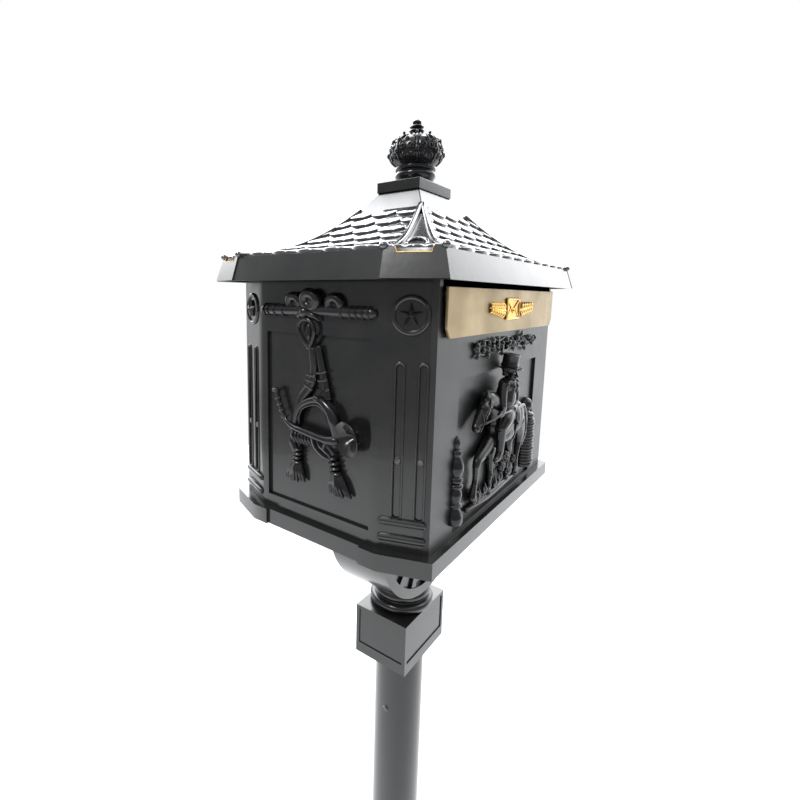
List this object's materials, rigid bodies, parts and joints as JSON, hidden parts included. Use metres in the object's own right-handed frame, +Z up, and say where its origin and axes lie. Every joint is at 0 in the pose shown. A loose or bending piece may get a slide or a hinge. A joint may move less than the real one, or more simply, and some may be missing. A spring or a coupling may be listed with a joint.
{
  "type": "pedestal letter box",
  "caption": "Cast letter box on a round column with a pagoda roof, brass flap over the mail slot and a lockable rear door.",
  "frame": {"origin": "centre of the foot flange's underside, on the ground", "axes": "+Z up, -Y towards the brass flap at the front, +X to the right seen from the front"},
  "size_m": [0.3768, 0.2624, 1.1489],
  "materials": {
    "black_casting": "gloss enamel on cast metal",
    "black_column": "gloss enamel on steel tube",
    "flap_brass": "satin brushed brass",
    "emblem_brass": "polished brass",
    "zinc_steel": "zinc plated",
    "sheet_steel": "satin painted sheet",
    "lock_brass": "plain brass",
    "lock_chrome": "bright chrome",
    "black_rubber": "matt"
  },
  "bodies": {
    "box": {"foot_flange": "black_casting", "foot_screws": "zinc_steel", "column_tube": "black_column", "column_screws": "zinc_steel", "square_block": "black_casting", "neck_collar": "black_casting", "draw_bolt": "zinc_steel", "corbel_bracket": "black_casting", "corbel_bolts": "zinc_steel", "floor_pan": "black_casting", "floor_screws": "zinc_steel", "left_side": "black_casting", "right_side": "black_casting", "front_wall": "black_casting", "rear_frame": "black_casting", "pilaster_screws": "zinc_steel", "left_harness_ornament": "black_casting", "right_harness_ornament": "black_casting", "rider_relief": "black_casting", "bollards": "black_casting", "leaf_swag": "black_casting", "roof_shell": "black_casting", "roof_screws": "zinc_steel", "finial_plinth": "black_casting", "finial_crown": "black_casting", "finial_stud": "zinc_steel", "finial_nut": "zinc_steel", "flap_pin": "zinc_steel", "flap_brackets": "zinc_steel", "flap_bumpers": "black_rubber", "bracket_screws": "zinc_steel", "mail_chute": "sheet_steel", "chute_screws": "zinc_steel", "hinge_pins": "zinc_steel", "door_bumpers": "black_rubber", "lock_keeper": "zinc_steel"},
    "flap": {"mail_flap": "flap_brass", "flap_emblem": "emblem_brass"},
    "door": {"rear_door": "black_casting", "lock_body": "lock_chrome", "lock_nut": "zinc_steel"},
    "lock": {"lock_plug": "lock_brass", "lock_cam": "zinc_steel", "cam_screw": "zinc_steel"}
  },
  "joints": [
    {"name": "flap_hinge", "type": "hinge", "parent": "box", "child": "flap", "pos_m": [0, -0.109, 0.958], "axis": [-1, 0, 0], "range_deg": [0, 80]},
    {"name": "door_hinge", "type": "hinge", "parent": "box", "child": "door", "pos_m": [0.128, 0.1175, 0.857], "axis": [0, 0, -1], "range_deg": [0, 110]},
    {"name": "lock_turn", "type": "hinge", "parent": "door", "child": "lock", "pos_m": [-0.104, 0.1, 0.857], "axis": [0, 1, 0], "range_deg": [0, 90]}
  ]
}
